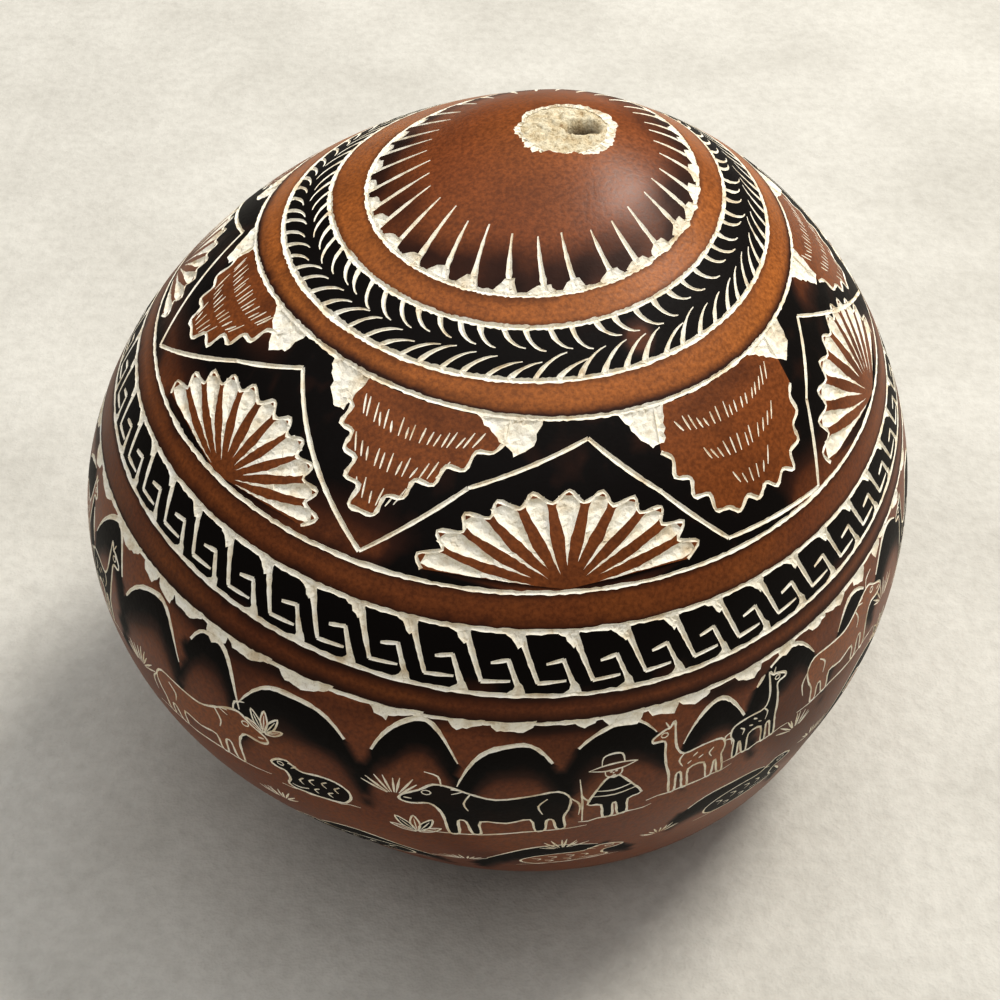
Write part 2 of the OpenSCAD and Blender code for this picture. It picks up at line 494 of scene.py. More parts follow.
def tint(tree, color, factor, source, stops):
    """A colour multiplied, by a factor, with the colours laid along a value."""
    return blend(tree, factor, color, ramp(tree, source, stops), "MULTIPLY")


def maths(tree, kind, a, b):
    node = add_node(tree, "ShaderNodeMath", operation=kind)
    feed(tree, node.inputs[0], a)
    feed(tree, node.inputs[1], b)
    return node.outputs[0]


def dress(tree, color, roughness, height, strength, distance, specular=0.5):
    """Gives a material its colour, its dullness and a fine relief, with the relief's distance in metres."""
    shader = tree.nodes["Principled BSDF"]
    relief = add_node(tree, "ShaderNodeBump", Strength=strength, Distance=distance, Height=height)
    feed(tree, shader.inputs["Base Color"], color)
    feed(tree, shader.inputs["Roughness"], roughness)
    feed(tree, shader.inputs["Specular IOR Level"], specular)
    feed(tree, shader.inputs["Normal"], relief.outputs["Normal"])
    return shader


# The stained skin is waxed and rubbed until it shines softly, with dark flecks in the stain.
# It turns from the stain's own colour through a scorched brown to black as it is burnt.
BURNT = (0.0040, 0.0022, 0.0014)
SCORCHED = (0.050, 0.014, 0.005)
RED_BROWN = (0.180, 0.048, 0.014)
GOLD_BROWN = (0.44, 0.150, 0.030)
NONE, ALL = (0, 0, 0), (1, 1, 1)

waxed_skin, tree = new_material("waxed_skin")
marks = add_node(tree, "ShaderNodeAttribute", attribute_name="tone")
split = add_node(tree, "ShaderNodeSeparateColor", Color=marks.outputs["Color"])
burn_mark, gold_mark = split.outputs["Red"], split.outputs["Green"]
cloudy = grain(tree, 140, 5, 0.6)
speckle = grain(tree, 2300, 2, 0.6)
stain = blend(tree, gold_mark, RED_BROWN, GOLD_BROWN)
stain = tint(tree, stain, 0.30, cloudy, [(0.32, (0.45, 0.42, 0.40)), (0.68, (1.25, 1.2, 1.15))])
stain = tint(tree, stain, 0.5, speckle, [(0.34, (0.40, 0.36, 0.34)), (0.66, (1.35, 1.35, 1.35))])
wavering = maths(tree, "MULTIPLY", maths(tree, "SUBTRACT", cloudy, 0.5), 0.35)
wavering = maths(tree, "ADD", burn_mark, wavering)
scorched = blend(tree, ramp(tree, wavering, [(0.10, NONE), (0.62, ALL)]), stain, SCORCHED)
skin_color = blend(tree, ramp(tree, wavering, [(0.52, NONE), (0.92, ALL)]), scorched, BURNT)
fleck = maths(tree, "MULTIPLY", speckle, 0.18)
dull = maths(tree, "MULTIPLY", burn_mark, 0.24)
roughness = maths(tree, "ADD", maths(tree, "ADD", fleck, dull), 0.30)
sheen = maths(tree, "SUBTRACT", 0.26, maths(tree, "MULTIPLY", burn_mark, 0.16))
relief = maths(tree, "ADD", speckle, maths(tree, "MULTIPLY", grain(tree, 420, 3), 1.5))
shader = dress(tree, skin_color, roughness, relief, 0.25, 0.00010, sheen)
shader.inputs["Coat Weight"].default_value = 0.05
shader.inputs["Coat Roughness"].default_value = 0.22

# Under the skin lies the pale pulp of the rind, which the burin lays bare; it is dry, fibrous and dull.
pale_pulp, tree = new_material("pale_pulp")
fibres = grain(tree, 2600, 4, 0.7)
shades = grain(tree, 420, 3, 0.6)
pulp_color = ramp(tree, shades, [
    (0.28, (0.74, 0.62, 0.44)), (0.48, (0.95, 0.89, 0.74)), (0.75, (0.98, 0.95, 0.86))])
pulp_color = tint(tree, pulp_color, 0.45, fibres, [(0.32, (0.55, 0.47, 0.37)), (0.47, ALL)])
dress(tree, pulp_color, 0.88, fibres, 0.8, 0.00012, 0.2)

# The rays run in from the first ring: a narrow point, then a flare where the burin broadens out.
RIM_R = 4.7
RAYS = 35


def rim_phi(turn):
    """The torn edge of the skin round the stem's root."""
    t = math.radians(turn)
    wave = 0.5 * noise.noise((2.2 * math.cos(t), 2.2 * math.sin(t), 4.0))
    tear = 0.4 * noise.noise((9 * math.cos(t), 9 * math.sin(t), 8.0))
    return 90 - (RIM_R + wave + tear) / (BELLY_R * STATIONS[0]) * 180 / math.pi


cap = Band("rind_crown", rim_phi, halfway("A", "B"))
ring_line(cap, "A")
for k in range(RAYS):
    t = SEAM + 1.5 + 360 * (k + 0.5) / RAYS + dice.uniform(-1.0, 1.0)
    east, north = math.cos(math.radians(t)), math.sin(math.radians(t))
    foot = (t, ring_at("A", t))
    tip = (t + 7 * north, foot[1] + 8.3 - 0.9 * east - 0.6 * north + dice.uniform(-0.6, 0.6))
    stroke(cap, [tip, foot], (0.16, 0.48, 0.72), 0.22)
    # The burin skids off beside the foot of each ray and leaves a bare patch on one side of it.
    middle, half, high = 0.75 * east - 0.35, dice.uniform(0.9, 1.4), dice.uniform(0.8, 1.5)
    scoop(cap, [
        beside(foot, middle - half - 0.4, 0.1), beside(foot, middle - 0.6 * half, high),
        beside(foot, middle + 0.5 * half, high + 0.2), beside(foot, middle + half + 0.3, 0.1),
        beside(foot, middle + half, -0.2), beside(foot, middle - half, -0.2)], 0.24)
# The skin round the stem's root is torn off unevenly, furthest on the right.
WELL_INSIDE = 85.5
torn = []
for k in range(161):
    t = SEAM + 360 * (k % 160) / 160
    east, north = math.cos(math.radians(t)), math.sin(math.radians(t))
    wide = 0.35 + 0.9 * max(east, 0) + 0.5 * max(-east - 0.6, 0)
    wide += 0.7 * noise.noise((2.2 * east, 2.2 * north, 5.0))
    place = beside((t, rim_phi(t)), 0, -max(wide, 0.2) + (dice.uniform(-0.12, 0.12) if k % 160 else 0))
    torn.append((SEAM + 360 * k / 160, place[1]))
for k in range(0, 160, 20):
    edge = torn[k:k + 21]
    cap.area(edge + [(p[0], WELL_INSIDE) for p in edge[::-1]])
for turn, low in torn[:-1]:
    for share in (0.35, 0.7):
        if dice.random() < 0.75:
            place = (turn + dice.uniform(-1, 1), low + (rim_phi(turn) - low) * share)
            cap.dot(place, dice.uniform(0.10, 0.40))

crown = build_band(cap, 60, 200)
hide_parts("shell")

# The feather band is the next stretch of the same rind, burnt black between two rings and plain gold on
# both sides. Curved strokes of the burin run in from both rings, all leaning the same way round.
rings["C"] = (48.6, 2.0, 0.0, 1.0, 1.2, 0.6)
rings["D"] = (43.1, 1.3, -0.8, 1.2, 2.2, 0.5)
WORN_AT = (-66.4, 51.6)


def feather_tone(turn, phi, soft, fine):
    """Black, but for one small patch at the front that is worn brown."""
    gap = gap_mm((turn if turn < 180 else turn - 360, phi), WORN_AT)
    return (0.98 if gap > 2.4 else 0.45 + 0.5 * smooth(1.0, 2.4, gap)) - 0.1 * max(soft, 0), 0.3


def lower_gold_tone(turn, phi, soft, fine):
    burn, gold = stripe("CD", 0.0, 0.42, 0.8, 0.75, 0.2)(turn, phi, soft, fine)
    return burn + 0.3 * (1 - smooth(0.6, 2.2, edge_mm("D", turn, phi))), gold


tones += [feather_tone, lower_gold_tone]
feather = Band("rind_feather_band", halfway("A", "B"), halfway("C", "D"))
ring_line(feather, "B")
ring_line(feather, "C")
for upper, lower, count, lengths in (("B", "C", 64, (0.34, 0.52)), ("C", "B", 73, (0.32, 0.50))):
    for k in range(count):
        turn = SEAM + 360 * k / count + dice.uniform(-0.5, 0.5)
        share = dice.uniform(*lengths)
        run = 6.2 + dice.uniform(-0.8, 0.8)
        path = [(turn + run * u ** 1.45, between(upper, lower, turn + run * u, share * (1 - (1 - u) ** 1.5)))
                for u in (0, 0.15, 0.32, 0.5, 0.68, 0.84, 1)]
        stroke(feather, path, (0.70, 0.36, 0.12), 0.2)

build_band(feather, 200, 240)

# The zigzag band is the widest stretch of the rind, burnt black with a warm brown glow between two rings.
# A cut line goes up and down in it. Fans stand under its peaks, and leaf-like flaps of red skin with bitten
# edges and rows of short hatching hang between them.
rings["E"] = (22.0, -2.6, -0.8, 1.0, 1.0, 0.45)
rings["F"] = (17.9, -2.7, -0.4, 1.0, 1.4, 0.5)
FLAP_MARK = (0.16, 0.35)
FAN_MARK = (0.22, 0.35)


def zigzag_tone(turn, phi, soft, fine):
    rim = edge_mm("DE", turn, phi)
    warm = smooth(-0.15, 0.40, mottle(turn, phi, 11, 3)) * (1 - smooth(1.0, 6.5, rim))
    return 0.97 - 0.60 * warm - 0.15 * smooth(0.1, 0.6, fine), 0.2


tones += [zigzag_tone, stripe("EF", 0.24, 0.40, 1.0, 0.26, 0.3)]
zigzag = Band("rind_zigzag_band", halfway("C", "D"), halfway("E", "F"))
ring_line(zigzag, "D")
ring_line(zigzag, "E")


def curve(points, parts=6):
    """A smooth curve through a few points."""
    ends = [points[0]] + list(points) + [points[-1]]
    row = []
    for a, b, c, d in zip(ends, ends[1:], ends[2:], ends[3:]):
        for k in range(parts):
            row.append(tuple(spline(a[i], b[i], c[i], d[i], k / parts) for i in (0, 1)))
    return row + [tuple(points[-1])]


def zig(turn, share):
    return turn, between("D", "E", turn, share)


def squiggle(band, path, period, swing, width):
    """A wavy white line along a path, as a burin rocked from side to side leaves it."""
    path = evenly(path, period / 2)
    points = [path[0]]
    for i in range(1, len(path) - 1):
        a, b = path[i - 1], path[i + 1]
        dx, dy = (b[0] - a[0]) * mm_per_turn(a[1]), (b[1] - a[1]) * mm_per_rise(a[1])
        push = swing * (1 if i % 2 else -1) * dice.uniform(0.7, 1.2) / math.hypot(dx, dy)
        points.append(beside(path[i], -dy * push, dx * push))
    wavy = curve(points + [path[-1]], 4)
    stroke(band, wavy, (width, width, width), 0.3)
    return wavy


BLADES = 11
FAN_SWEEP = 170


def fan(focus_turn, left, right, height):
    """A fan of wedges cut from a point on the lower ring, with a wavy line round its edge."""
    focus = zig(focus_turn, 0.985)
    tall = height * (ring_at("D", focus_turn) - ring_at("E", focus_turn))

    def edge(angle, share):
        wide = right if angle < 90 else left
        turn = focus_turn + share * wide * math.cos(math.radians(angle))
        low = between("D", "E", turn, 0.985)
        return turn, low + share * tall * math.sin(math.radians(angle))

    spread = FAN_SWEEP / BLADES
    rim = [edge(175, 0.98)]
    for k in range(BLADES):
        angle = 175 - spread * (k + 0.5)
        rim += [edge(angle, 1.05), edge(angle - spread / 2, 0.92)]
        half = spread * dice.uniform(0.30, 0.42)
        start = edge(angle, dice.uniform(0.14, 0.30))
        scoop(zigzag, [
            start, edge(angle - 0.4 * half, 0.55), edge(angle - half, 0.88), edge(angle - 0.8 * half, 1.0),
            edge(angle + 0.8 * half, 1.0), edge(angle + half, 0.88), edge(angle + 0.4 * half, 0.55)],
            0.34, 0.42, 0.05)
    rim = curve(rim, 4)
    zigzag.area(rim + [focus], FAN_MARK)
    stroke(zigzag, rim, (0.36, 0.40, 0.36), 0.3)


def flap(corners):
    """A hanging flap of dark red skin with a wavy white edge, hatched inside with short strokes."""
    path = [zig(turn, share) for turn, share in corners]
    edge = squiggle(zigzag, path, 2.9, 0.52, 0.44)
    left, right = corners[0][0], corners[-1][0]
    back = [zig(right - (right - left) * u, 0.02) for u in (0, 0.25, 0.5, 0.75, 1)]
    zigzag.area(edge + back, FLAP_MARK)
    deepest = max(share for turn, share in corners)
    middle = sum(turn for turn, share in corners[1:-1]) / (len(corners) - 2)
    for row, (level, wide) in enumerate(((0.14, 0.36), (0.42, 0.25), (0.68, 0.12))):
        centre = (left + right) / 2 + (middle - (left + right) / 2) * level
        half = wide * (right - left)
        count = max(5, round(2 * half * mm_per_turn(34) / 0.8))
        for k in range(count):
            u = -1 + 2 * (k + 0.5) / count + dice.uniform(-0.03, 0.03)
            foot = zig(centre + half * u, 0.09 + deepest * (level + 0.09 - 0.07 * u * u))
            head = beside(foot, 0.9 * u + dice.uniform(-0.1, 0.1), dice.uniform(1.0, 1.9))
            stroke(zigzag, [foot, head], (0.10, 0.24, 0.10))


def corner_patch(turn, corners):
    """A bare patch scraped out beside an upper corner of a flap."""
    scoop(zigzag, [zig(turn + aside, share) for aside, share in corners], 0.36, 0.42, 0.14)


# The line of the zigzag, corner by corner as it was cut: a turn and a share of the band's height.
ZIGZAG = [
    (-240, 0.14), (-218, 0.93), (-207, 0.57), (-185, 0.14), (-168, 0.94), (-149, 0.44), (-136, 0.18),
    (-111, 0.94), (-98, 0.45), (-79, 0.13), (-67, 0.52), (-57, 0.92), (-38, 0.98), (-33, 0.52), (-23, 0.15),
    (4, 0.80), (9, 0.93), (28, 0.15), (52, 0.93), (77, 0.15), (101, 0.93), (120, 0.14)]
for a, b in zip(ZIGZAG, ZIGZAG[1:]):
    stroke(zigzag, [zig(*a), zig(*b)], (0.40, 0.52, 0.44), 0.14)
for focus_turn, left, right, height in (
        (-192, 19, 17, 0.55), (-136, 20, 17, 0.52), (-82, 20.5, 19.5, 0.53), (-14.5, 19.5, 14.5, 0.57),
        (28, 17, 17, 0.54), (77, 18, 18, 0.55), (122, 15, 14, 0.52)):
    fan(focus_turn, left, right, height)
for corners in (
        ((-233, 0.12), (-227, 0.45), (-218, 0.72), (-212, 0.45), (-204, 0.14)),
        ((-177, 0.16), (-172, 0.42), (-165, 0.66), (-158, 0.52), (-147, 0.14)),
        ((-124.5, 0.17), (-119, 0.42), (-113, 0.76), (-106, 0.50), (-93.5, 0.15)),
        ((-66, 0.30), (-61, 0.60), (-56, 0.78), (-42, 0.76), (-38, 0.58), (-35, 0.36)),
        ((-8, 0.28), (-3, 0.50), (4, 0.68), (11, 0.48), (19, 0.14)),
        ((38, 0.14), (45, 0.45), (53, 0.74), (60, 0.45), (67, 0.14)),
        ((87, 0.14), (94, 0.45), (101, 0.72), (107, 0.45), (113, 0.14))):
    flap(corners)
    left, right = corners[0][0], corners[-1][0]
    corner_patch(left, ((-8, 0.0), (2, 0.0), (1, 0.25), (-1.5, 0.26), (-5.5, 0.10)))
    corner_patch(right, ((-7, 0.0), (6, 0.0), (5, 0.17), (2, 0.24), (-1, 0.16)))

build_band(zigzag, 240, 300)

# The key band is the rind's narrow border: hooks of skin burnt black that lock into one another, parted by
# thin cut lines, with small notches scraped out along both rings.
rings["G"] = (11.8, -2.7, 0.7, 1.6, 1.8, 0.5)
rings["H"] = (7.6, -1.8, 0.3, 1.5, 2.0, 0.45)
KEYS = 52
PITCH = 360 / KEYS


def key_tone(turn, phi, soft, fine):
    """Black, and browner in blotches along the lower ring."""
    top, foot = ring_at("F", turn), ring_at("G", turn)
    low = smooth(0.72, 0.95, (top - phi) / max(top - foot, 0.1))
    return 0.99 - 0.45 * low * smooth(0.0, 0.4, mottle(turn, phi, 8, 2)), 0.2


tones += [key_tone, stripe("GH", 0.30, 0.42, 1.0, 0.20, 0.3)]
fret = Band("rind_key_band", halfway("E", "F"), halfway("G", "H"))
ring_line(fret, "F")
ring_line(fret, "G")


def key(k, u, v):
    """A place in a key: u pitches round from its start and a share v of the way down the band."""
    turn = SEAM + PITCH * k + PITCH * u
    return turn, between("F", "G", turn, v)


for k in range(KEYS):
    for start, end, widths in (
            ((0.30, 0.05), (0.63, 0.80), (0.75, 0.55, 0.42)),
            ((0.62, 0.80), (1.14, 0.77), (0.42, 0.42, 0.25)),
            ((0.78, 0.50), (1.10, 0.44), (0.30, 0.45, 0.42)),
            ((1.09, 0.43), (1.32, 0.95), (0.42, 0.5, 0.7))):
        stroke(fret, [key(k, *start), key(k, *end)], widths)
    for notch in (
            ((-0.10, 0.0), (0.40, 0.0), (0.36, 0.20), (0.27, 0.26), (0.12, 0.10)),
            ((0.98, 1.0), (1.42, 1.0), (1.36, 0.84), (1.26, 0.74), (1.20, 0.90))):
        scoop(fret, [key(k, *corner) for corner in notch], 0.3)
build_band(fret, 300, 300)

# The picture frieze is the rest of the rind down to the foot, red brown, with scenes drawn by the burin:
# rounded hills with burnt crests under a scraped sky, beasts at pasture with their herder, grass and plants.
# A hill is its crest's turn, half its width, and its crest's drop below the lowest ring or its height angle.
BLACK = (0.93, 0.0)
BROWN = (0.08, 0.0)
SKYLINE = [
    (-177, 7, 1.2), (-163, 8, 2.4), (-150, 6, 0.8), (-139, 7, 2.4), (-127, 5, 1.0), (-115, 9, 2.6),
    (-101, 6, 0.8), (-89, 7, 2.8), (-75, 8, 1.0), (-62, 6, 2.4), (-50, 8, 0.8), (-36, 7, 2.2), (-23, 8, 1.0),
    (-9, 7, 2.4), (5, 8, 1.0), (19, 7, 2.2), (33, 8, 1.0), (47, 7, 2.4), (61, 8, 1.0), (74, 6, 2.2),
    (87, 8, 1.0), (101, 7, 2.4), (115, 8, 1.0), (129, 7, 2.2), (143, 8, 1.0), (157, 7, 2.4), (170, 6, 1.2)]
NEAR_HILLS = [
    (-168, 9, -13.0), (-141, 11, -15.5), (-112, 10, -18.5), (-86, 12, -19.5), (-58, 11, -16.5),
    (-30, 10, -13.5), (-6, 11, -15.0), (24, 12, -16.0), (52, 10, -15.0), (80, 11, -16.5), (108, 10, -15.0),
    (136, 12, -17.0), (166, 10, -15.0)]
HILLS = [(crest, half, ring_at("H", crest) - drop) for crest, half, drop in SKYLINE] + NEAR_HILLS


def hill_top(top, share, crest):
    """Height angle of a hill's outline, at a share of its half width from the crest."""
    lean = 0.12 * math.sin(3 * crest)
    return top - 8.0 * abs(share + lean) ** 2.3 + 0.35 * math.sin(crest + 5 * share)


def hill_burn(turn, phi):
    """Burnt shade under the crest of each hill of the picture."""
    burn = 0.0
    for crest, half, top in HILLS:
        off = (turn - crest + 180) % 360 - 180
        if abs(off) > half:
            continue
        down = (hill_top(top, off / half, crest) - phi) * mm_per_rise(phi)
        if down > 0:
            burn = max(burn, 1 - smooth(2.5, 8.0, down + 2.2 * mottle(turn, phi, 6, 5)))
    return burn


def picture_tone(turn, phi, soft, fine):
    """Burnt under the crests and under the sky, and cloudy elsewhere."""
    top = 0.8 * (1 - smooth(0.5, 3.2, (ring_at("H", turn) - phi) * mm_per_rise(phi) + soft))
    top *= smooth(-0.3, 0.2, mottle(turn, phi, 12, 9))
    cloud = 0.4 * smooth(0.05, 0.5, mottle(turn, phi, 14, 9))
    return max(hill_burn(turn, phi), top, cloud, 0.14), 0.10 + 0.16 * soft


def table_level(low, high):
    """The height angle at which the skin comes down to the table, found by halving."""
    for _ in range(40):
        middle = (low + high) / 2
        if reach(middle) * math.sin(math.radians(middle)) + HEART_Z > 0:
            high = middle
        else:
            low = middle
    return middle


tones += [picture_tone]
FLAT_PHI = table_level(-90.0, -50.0)
frieze = Band("rind_picture_frieze", halfway("G", "H"), lambda turn: FLAT_PHI)
ring_line(frieze, "H")
# The sky is scraped away in flakes that hang from the ring.
turn = SEAM
while turn < SEAM + 358:
    wide = dice.uniform(1.8, 6.0)
    high = dice.uniform(0.7, 2.1)
    top = (turn, ring_at("H", turn))
    scoop(frieze, [
        beside(top, -0.5 * wide, 0.1), beside(top, 0.5 * wide, 0.1), beside(top, 0.42 * wide, -0.5 * high),
        beside(top, dice.uniform(-0.2, 0.3) * wide, -high), beside(top, -0.36 * wide, -0.6 * high)],
        0.26, 0.42, 0.12)
    turn += (wide + dice.uniform(-0.6, 3.0)) / mm_per_turn(5)


def figure(points, at, size, facing):
    """A drawing in mm, set on the skin with its foot at a place."""
    return [beside(at, x * size * facing, y * size) for x, y in points]


coats = []


def creature(outline, lines, eye, shade, at, size, facing):
    """A beast or its herder: a coat left dark or brown, with its outline and a few lines cut."""
    edge = curve(figure(outline + outline[:1], at, size, facing), 3)
    coats.append(edge)
    frieze.area(edge[:-1], shade)
    stroke(frieze, edge, (0.26, 0.32, 0.26), 0.25)
    for line in lines:
        stroke(frieze, curve(figure(line, at, size, facing), 3), (0.16, 0.26, 0.10))
    if eye is None:
        return
    x, y = eye
    ring = [(x + 0.42 * math.cos(a), y + 0.32 * math.sin(a)) for a in np.linspace(0, 2 * math.pi, 9)]
    stroke(frieze, figure(ring, at, size, facing), (0.16, 0.16, 0.16), 0.1)


# Each drawing is an outline and inner lines, in mm, looking to the right from between its feet.
OX = [
    (-6.4, 3.4), (-6.7, 5.2), (-5.6, 6.5), (-3.0, 6.3), (0.0, 6.1), (2.2, 7.0), (3.9, 7.9), (5.4, 8.2),
    (6.7, 7.3), (8.3, 6.4), (8.6, 5.6), (7.6, 5.2), (6.0, 5.4), (5.2, 4.4), (4.9, 2.9), (4.8, 0.2),
    (3.9, 0.2), (3.7, 2.6), (3.0, 2.5), (2.7, 0.2), (1.9, 0.2), (1.7, 2.5), (-0.6, 2.1), (-2.8, 2.5),
    (-3.1, 0.2), (-4.0, 0.2), (-4.3, 2.0), (-4.9, 1.9), (-5.1, 0.2), (-5.9, 0.2), (-5.9, 2.2)]
OX_LINES = [
    [(4.7, 8.0), (4.9, 9.3), (6.1, 9.8)], [(3.9, 7.6), (2.8, 7.4), (3.9, 6.9)],
    [(-6.7, 5.2), (-7.5, 4.0), (-7.3, 2.2)], [(2.2, 7.0), (2.9, 5.6), (2.6, 4.4)],
    [(-4.6, 5.6), (-3.7, 4.6), (-4.0, 3.2)], [(8.2, 6.0), (7.5, 5.9)]]
LLAMA = [
    (-3.9, 3.2), (-4.4, 4.6), (-3.8, 5.9), (-1.4, 6.2), (0.9, 6.1), (1.8, 7.6), (1.9, 9.8), (1.9, 11.4),
    (2.5, 10.7), (3.1, 10.6), (4.5, 9.9), (4.5, 9.3), (3.2, 9.0), (3.2, 7.2), (3.1, 5.2), (2.8, 3.4),
    (2.8, 0.2), (2.1, 0.2), (1.9, 2.9), (1.3, 2.9), (1.2, 0.2), (0.5, 0.2), (0.4, 3.1), (-1.6, 3.1),
    (-1.9, 0.2), (-2.6, 0.2), (-2.9, 2.4), (-3.2, 2.4), (-3.4, 0.2), (-4.1, 0.2)]
LLAMA_LINES = [
    [(-4.3, 5.2), (-5.2, 4.9), (-5.3, 3.9)], [(0.9, 6.1), (1.5, 5.2), (1.1, 4.0)],
    [(2.6, 10.7), (3.0, 11.6)], [(-2.9, 5.0), (-2.3, 4.4), (-2.6, 3.6)], [(-0.8, 5.4), (-0.2, 5.0)],
    [(-1.5, 4.6), (-0.9, 4.3)], [(0.0, 4.4), (0.5, 4.1)]]
SHEEP = [
    (-3.2, 0.3), (-4.1, 1.6), (-4.0, 3.2), (-2.6, 4.4), (-0.6, 4.7), (1.4, 4.4), (2.4, 4.9), (3.3, 5.6),
    (4.6, 5.2), (5.5, 4.2), (4.7, 3.6), (3.7, 3.4), (3.4, 2.0), (3.9, 0.9), (3.2, 0.2), (1.0, 0.1),
    (-1.4, 0.0)]
SHEEP_LINES = [
    [(3.2, 5.2), (2.2, 5.0), (2.9, 4.4)], [(-3.0, 3.4), (-2.3, 2.8), (-2.7, 2.1)],
    [(-1.5, 3.8), (-0.8, 3.2), (-1.3, 2.5)], [(0.1, 3.6), (0.8, 3.0), (0.3, 2.3)],
    [(-2.0, 1.9), (-1.3, 1.4), (-1.8, 0.8)], [(-0.3, 1.9), (0.4, 1.4), (0.0, 0.8)],
    [(1.5, 3.2), (2.1, 2.5), (1.7, 1.8)], [(1.2, 1.2), (2.4, 0.8), (3.4, 1.0)]]
HERDER = [
    (-0.6, 7.0), (-1.6, 5.6), (-2.9, 3.2), (-1.4, 2.6), (-1.2, 0.2), (-0.2, 0.2), (-0.1, 2.3), (0.3, 2.3),
    (0.4, 0.2), (1.4, 0.2), (1.5, 2.6), (2.9, 3.2), (1.7, 5.6), (0.6, 7.0)]
HERDER_LINES = [
    [(-2.6, 8.5), (-1.2, 8.1), (0.0, 8.0), (1.2, 8.1), (2.6, 8.5)],
    [(-2.6, 8.5), (-1.3, 8.8), (0.0, 8.9), (1.3, 8.8), (2.6, 8.5)],
    [(-1.2, 8.8), (-1.0, 10.0), (0.0, 10.3), (1.0, 10.0), (1.2, 8.8)],
    [(-0.9, 8.1), (-0.8, 7.3), (0.0, 6.9), (0.8, 7.3), (0.9, 8.1)],
    [(-2.3, 4.4), (0.0, 4.0), (2.3, 4.4)], [(-1.9, 5.2), (0.0, 4.8), (1.9, 5.2)],
    [(2.6, 3.6), (3.3, 4.6), (3.4, 5.4)], [(3.6, 0.2), (3.4, 4.0), (3.5, 7.6)],
    [(-0.42, 7.78), (-0.12, 7.74)], [(0.12, 7.74), (0.42, 7.78)], [(0.0, 7.66), (0.06, 7.46)],
    [(-0.2, 7.22), (0.2, 7.22)]]
# With its drawing, each has the place of its eye and half the length of the ground that it stands on.
DRAWINGS = {
    "ox": (OX, OX_LINES, (6.1, 7.0), 8.0), "llama": (LLAMA, LLAMA_LINES, (3.2, 9.9), 5.5),
    "sheep": (SHEEP, SHEEP_LINES, (4.2, 4.6), 5.0), "herder": (HERDER, HERDER_LINES, None, 4.0)}


def pasture(at, half):
    """The line of ground that a beast stands on."""
    ground = [(x, 0.16 * math.sin(2.1 * x + at[0])) for x in np.linspace(-half, half, 9)]
    stroke(frieze, figure(ground, at, 1, 1), (0.14, 0.30, 0.10), 0.25)


def tuft(at, blades, high):
    """Grass: a fan of short strokes from one foot."""
    for k in range(blades):
        a = math.radians(20 + 140 * (k + 0.5) / blades + dice.uniform(-4, 4))
        far = high * dice.uniform(0.75, 1.1)
        start, end = (0.9 * math.cos(a), 0.35 * math.sin(a)), (far * math.cos(a) * 1.15, far * math.sin(a))
        stroke(frieze, figure([start, end], at, 1, 1), (0.10, 0.30, 0.10))


def bush(at, size, facing):
    """A broad-leaved plant: long leaves outlined in white, each with its rib."""
    for k, a in enumerate((28, 58, 88, 118, 150)):
        far = size * (4.6 if k in (1, 2, 3) else 3.6)
        c, d = math.cos(math.radians(a)), math.sin(math.radians(a))
        leaf = [(far * (u * c - v * d), far * (u * d + v * c)) for u, v in (
            (0.06, 0.0), (0.35, 0.11), (0.65, 0.12), (1.0, 0.0), (0.65, -0.12), (0.35, -0.11))]
        edge = curve(figure(leaf + leaf[:1], at, 1, facing), 3)
        frieze.area(edge[:-1], BLACK if k % 2 else BROWN)
        stroke(frieze, edge, (0.16, 0.24, 0.16))
        rib = [(0.2 * far * c, 0.2 * far * d), (0.8 * far * c, 0.8 * far * d)]
        stroke(frieze, figure(rib, at, 1, facing), (0.08, 0.18, 0.08))


# Who stands where: the kind, its turn and height angle, its size, 1 if it looks to the right or else -1.
for kind, turn, phi, size, facing, shade in (
        ("llama", -163, -1.0, 0.80, 1, BROWN), ("llama", -152, -4.5, 0.95, 1, BLACK),
        ("ox", -129, -9.5, 1.05, 1, BROWN), ("sheep", -113, -10.5, 0.9, -1, BLACK),
        ("ox", -91, -14.0, 1.15, -1, BLACK), ("herder", -76.5, -13.0, 1.05, -1, BLACK),
        ("llama", -66, -11.5, 1.0, -1, BROWN), ("llama", -55.5, -10.0, 0.9, 1, BLACK),
        ("ox", -38, -9.5, 1.1, 1, BROWN), ("llama", -14, -8.5, 1.0, -1, BLACK),
        ("ox", 8, -9.5, 1.1, 1, BLACK), ("llama", 29, -9.0, 1.0, 1, BROWN),
        ("sheep", 42, -9.5, 1.0, 1, BLACK), ("ox", 62, -10.0, 1.1, -1, BROWN),
        ("llama", 84, -9.0, 1.0, -1, BLACK), ("ox", 104, -9.5, 1.05, 1, BLACK),
        ("llama", 127, -9.0, 1.0, 1, BROWN), ("llama", 137, -10.0, 0.8, 1, BLACK),
        ("ox", 156, -8.5, 1.0, -1, BLACK), ("sheep", 176, -7.0, 1.0, 1, BROWN),
        ("sheep", -141, -25.0, 1.2, 1, BROWN), ("sheep", -112, -28.5, 1.3, -1, BLACK),
        ("sheep", -84, -30.0, 1.2, 1, BROWN), ("sheep", -56, -26.5, 1.3, 1, BLACK),
        ("sheep", -26, -24.0, 1.2, -1, BROWN), ("sheep", 20, -26.0, 1.3, 1, BLACK),
        ("sheep", 70, -26.0, 1.2, -1, BROWN), ("sheep", 120, -26.0, 1.3, 1, BLACK),
        ("sheep", 170, -25.0, 1.2, -1, BROWN)):
    outline, lines, eye, ground = DRAWINGS[kind]
    creature(outline, lines, eye, shade, (turn, phi), size, facing)
    pasture((turn, phi), ground * size)
